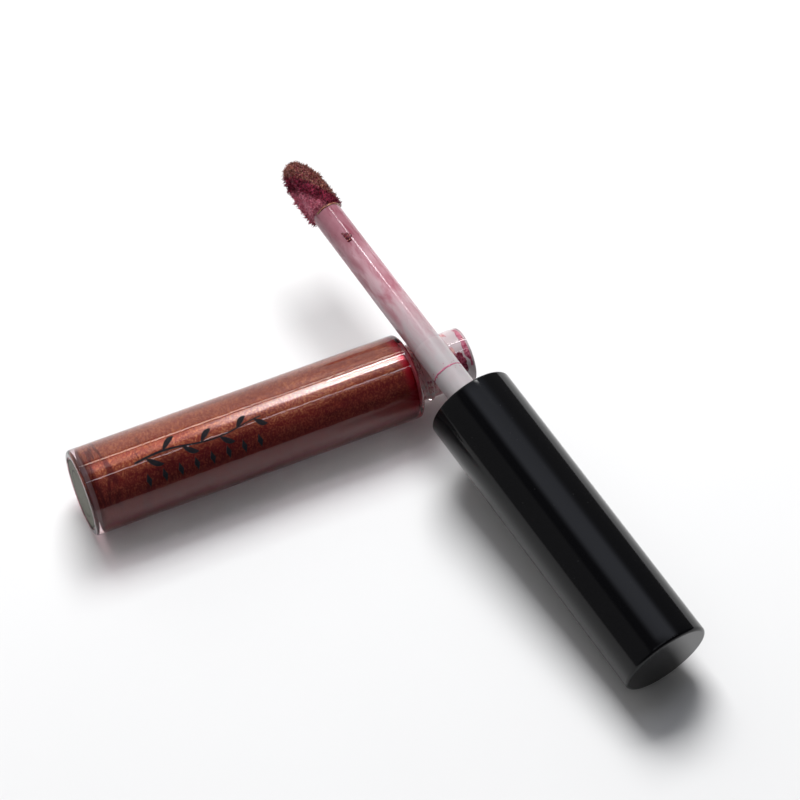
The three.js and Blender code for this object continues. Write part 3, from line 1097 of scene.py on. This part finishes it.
def flock(name, count, length, thickness, tangle, seed):
    """Fibres all over the tip, leaning together in tufts. They are shorter on the smooth flat face and
    where they point up, so that they stay in the part's box."""
    random = np.random.default_rng(seed)
    noise.seed_set(FIBRE_SEED)  # noise_vector starts from the clock without it
    mesh = bmesh.new()
    start = TIP_START + 0.1 * MM
    root_depth = 0.2 * MM
    tuft_size = 0.75 * MM
    forward = Vector((0.15, 0, 0))
    for _ in range(count):
        past = random.random()
        along = start + (TIP_END - TIP_START - 0.1 * MM) * past
        angle = 2 * math.pi * random.random()
        if along > TIP_END - 0.05 * MM:
            continue
        if random.random() * TIP_RADIUS > tip_radius(along, angle) + 0.6 * MM:
            continue
        root = tip_point(along, angle, -root_depth)
        tuft = noise.noise_vector(root / tuft_size)
        stray = Vector(random.normal(0, 1, 3))
        lean = forward + tuft * 0.8 * tangle + stray * 0.25 * tangle
        direction = (tip_normal(along, angle) + lean).normalized()
        on_face = smooth_step(toward_flat(angle), 0.90, 0.98)
        upward = max(0.0, direction.z)
        shown = length * (0.65 + 0.7 * random.random()) * (1 - 0.75 * on_face) * (1 - 0.5 * upward)
        bend = Vector(random.normal(0, 1, 3)) * 0.12 * shown
        fibre(mesh, root, root + direction * shown, thickness, bend)
    return solid_object(name, mesh, WAND, 80)


def flock_skin():
    """The matted base of the flock."""

    def lift(along, angle):
        radius = tip_radius(along, angle)
        return 0.12 * MM * cloud(along, angle, radius, 0.45 * MM, 7.7) - 0.12 * MM

    return tip_body("flock_skin", lift)


def gloss_coat():
    """The thick gloss that covers the tip's end and one side, and dips under the skin elsewhere."""

    def lift(along, angle):
        point = tip_point(along, angle)
        ragged = 0.8 * MM * cloud(along, angle, point.yz.length, 0.9 * MM, 2.2)
        cover = smooth_step(coat_side(point) + ragged, 0.5 * MM, 1.4 * MM)
        lumps = 0.14 * MM * cloud(along, angle, point.yz.length, 0.42 * MM, 5.5)
        return -0.34 * MM + cover * (0.27 * MM + lumps)

    return tip_body("gloss_coat", lift)


def collar_bead():
    """The bead of gloss on the stem where the flock begins."""
    middle = STEM_END - 0.4 * MM

    def cover(along, angle):
        wander = 0.22 * MM * cloud(0, angle, STEM_END_RADIUS, 1.4 * MM, 6.6)
        bead = 1 - smooth_step(abs(along - middle - wander), 0.08 * MM, 0.3 * MM)
        return bead * sector(angle, 20, 190, 30)

    surface = STEM_END_RADIUS
    start, end = middle - 0.7 * MM, middle + 0.7 * MM
    return film("collar_bead", WAND, start, end, surface - 0.15 * MM, surface + 0.16 * MM, cover, 40)


# ---- the studio ----------------------------------------------------------------------------------


def floor():
    mesh = bmesh.new()
    bmesh.ops.create_grid(mesh, x_segments=8, y_segments=8, size=1.6)
    sweep = solid_object("floor", mesh, Matrix.Identity(4))
    n = Nodes("white_sweep")
    n.set(Base_Color=n.mix(n.grain(40 * MM), (0.80, 0.80, 0.80), (0.82, 0.82, 0.82)), Roughness=0.9)
    n.shader.inputs["Specular IOR Level"].default_value = 0.0
    n.paint(sweep)


def softbox(name, place, length, width, radiance, colour, mirrored):
    """A soft light with its length along X, facing the object. A mirrored one only shows as a
    highlight; the other kind only lights matte surfaces."""
    data = bpy.data.lights.new(name, "AREA")
    data.shape = "RECTANGLE"
    data.size = length
    data.size_y = width
    data.energy = radiance * math.pi * length * width
    data.color = colour
    lamp = bpy.data.objects.new(name, data)
    bpy.context.scene.collection.objects.link(lamp)
    level = Vector((1, 0, 0))
    back = Vector((0, place[1], place[2])).normalized()
    turn = Matrix((level, back.cross(level), back)).transposed()
    lamp.matrix_world = Matrix.Translation(place) @ turn.to_4x4()
    lamp.visible_glossy = mirrored
    lamp.visible_diffuse = not mirrored


def tent():
    """A white tent seen as a function of direction: a bright wall behind, a bluish panel overhead, and
    dark gaps to the right and in front."""
    world = bpy.data.worlds.new("tent")
    bpy.context.scene.world = world
    world.use_nodes = True
    n = Tree(world.node_tree)
    glow = n.tree.nodes["Background"]
    x, y, z = n.apart(n.add("ShaderNodeTexCoord").outputs["Generated"])
    azimuth = n.plus(n.maths("DIVIDE", n.maths("ARCTAN2", x, y), 2 * math.pi), 0.5)
    front = (0.05, 0.05, 0.055)
    back = (1.0, 0.98, 0.96)
    dark = (0.02, 0.02, 0.02)
    to_the_left = ((0.22, (0.20, 0.20, 0.21)), (0.34, 0.26))
    to_the_back = ((0.44, back), (0.56, back))
    to_the_right = ((0.64, 0.16), (0.72, dark), (0.88, dark))
    stops = ((0.0, front), (0.12, front), *to_the_left, *to_the_back, *to_the_right, (1.0, front))
    walls = n.ramp(azimuth, *stops, ease="EASE")
    colour = n.mix(n.window(z, 0.70, 0.80), walls, dark)
    across = n.times(n.window(x, -0.40, -0.12), n.window(x, 0.66, 0.36))
    behind = n.times(n.window(y, 0.54, 0.44), n.window(y, 0.02, 0.20))
    upper = n.times(n.window(z, 0.62, 0.72), behind)
    panel = n.mix(n.window(y, 0.42, 0.22), (0.50, 0.53, 0.62), (1.0, 1.05, 1.2))
    colour = n.mix(n.times(across, upper), colour, panel)
    n.link(colour, glow.inputs["Color"])


def camera():
    """At the photograph's viewing angle, looking down on the neck from the front left."""
    aim = Vector((18.07 * MM, 14.58 * MM, 0))
    azimuth = math.radians(-115.04)
    elevation = math.radians(53.59)
    distance = 449.4 * MM
    roll = math.radians(0.61)
    field_of_view = math.radians(17.57)
    back = Vector(
        (
            math.cos(azimuth) * math.cos(elevation),
            math.sin(azimuth) * math.cos(elevation),
            math.sin(elevation),
        )
    )
    data = bpy.data.cameras.new("camera")
    data.lens_unit = "MILLIMETERS"
    data.lens = data.sensor_width / 2 / math.tan(field_of_view / 2)
    data.clip_start = 0.01
    shot = bpy.data.objects.new("camera", data)
    bpy.context.scene.collection.objects.link(shot)
    shot.rotation_mode = "QUATERNION"
    shot.location = aim + back * distance
    level = (-back).to_track_quat("-Z", "Y")
    shot.rotation_quaternion = Matrix.Rotation(roll, 3, back).to_quaternion() @ level
    bpy.context.scene.camera = shot


def studio():
    floor()
    tent()
    warm = (1.0, 0.97, 0.90)
    cool = (0.90, 0.90, 1.0)
    white = (1.0, 1.0, 1.0)
    softbox("key", (0.153, 0.495, 0.730), 0.50, 0.36, 17.6, white, mirrored=False)
    softbox("fill", (-0.3, -0.1, 0.9), 0.9, 0.9, 0.33, white, mirrored=False)
    softbox("back_strip_left", (-0.29, 0.506, 0.744), 0.92, 0.045, 9, warm, mirrored=True)
    softbox("back_strip_right", (0.25, 0.506, 0.744), 0.16, 0.045, 8, warm, mirrored=True)
    softbox("stem_strip", (0.27, 0.39, 0.807), 0.12, 0.05, 18, white, mirrored=True)
    softbox("top_strip", (0.09, -0.187, 0.880), 1.2, 0.04, 6, cool, mirrored=True)
    bpy.context.scene.view_settings.view_transform = "Standard"
    camera()


# ---- putting it together -------------------------------------------------------------------------


def dress(piece, nodes, body, slot, *stands_for):
    nodes.paint(piece)
    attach(piece, body)
    if stands_for:
        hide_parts(*stands_for)


def build():
    pink_film = gloss_film("pink_film", (0.52, 0.20, 0.29), (0.36, 0.065, 0.13))
    mouth_film = gloss_film("mouth_film", (0.40, 0.14, 0.19), (0.21, 0.022, 0.062), 0)
    # the thread streaks: partly gloss in the neck, partly a painted highlight of the thread's ridges
    thread_gloss_and_highlight = gloss_film("thread_gloss_and_highlight", (0.54, 0.35, 0.32), (0.32, 0.08, 0.12), 0)
    neck_film = gloss_film("neck_film", (0.24, 0.05, 0.085), (0.08, 0.007, 0.018), 0)
    wine_film = gloss_film("wine_film", (0.17, 0.010, 0.024), (0.06, 0.003, 0.008))
    collar_film = gloss_film("collar_film", (0.46, 0.25, 0.13), (0.24, 0.06, 0.05))
    flock_material = flock_fibres()
    coat_material = wet_coat()
    dress(clear_tube(), clear_plastic(), "tube", "clear_wall", "tube_bottle")
    dress(gloss(), pearl_gloss(), "tube", "gloss", "gloss_fill")
    dress(wiper(), wiper_plastic(), "tube", "wiper_plastic", "wiper")
    dress(base_label(), label_film(), "tube", "label_paper", "base_label")
    dress(sprig_print(), print_ink(), "tube", "liner_black")
    dress(mouth_smear(), mouth_film, "tube", "gloss")
    dress(neck_smear(), neck_film, "tube", "gloss")
    dress(thread_streaks(), thread_gloss_and_highlight, "tube", "gloss")
    dress(cap_shell(), cap_black(), "applicator", "cap_black", "cap_shell")
    dress(cap_liner(), liner_black(), "applicator", "liner_black", "cap_liner")
    dress(seal_washer(), washer_foam(), "seal", "washer_foam", "seal_washer")
    dress(stem(), stem_plastic(), "applicator", "stem_plastic", "stem")
    dress(stem_ring(), pink_film, "applicator", "gloss")
    dress(stem_drop(), wine_film, "applicator", "gloss")
    dress(flock_skin(), flock_material, "applicator", "flock", "tip_flock")
    tufts = flock("flock_tufts", 1300, 0.92 * MM, 0.12 * MM, 1.1, FIBRE_SEED)
    dress(tufts, flock_material, "applicator", "flock")
    fibres = flock("flock_fibres", 9000, 0.56 * MM, 0.05 * MM, 0.9, FIBRE_SEED + 1)
    dress(fibres, flock_material, "applicator", "flock")
    dress(gloss_coat(), coat_material, "applicator", "gloss")
    dress(collar_bead(), collar_film, "applicator", "gloss")
    dress(tip_core(), tip_core_plastic(), "applicator", "tip_plastic", "tip_core")


build()
studio()
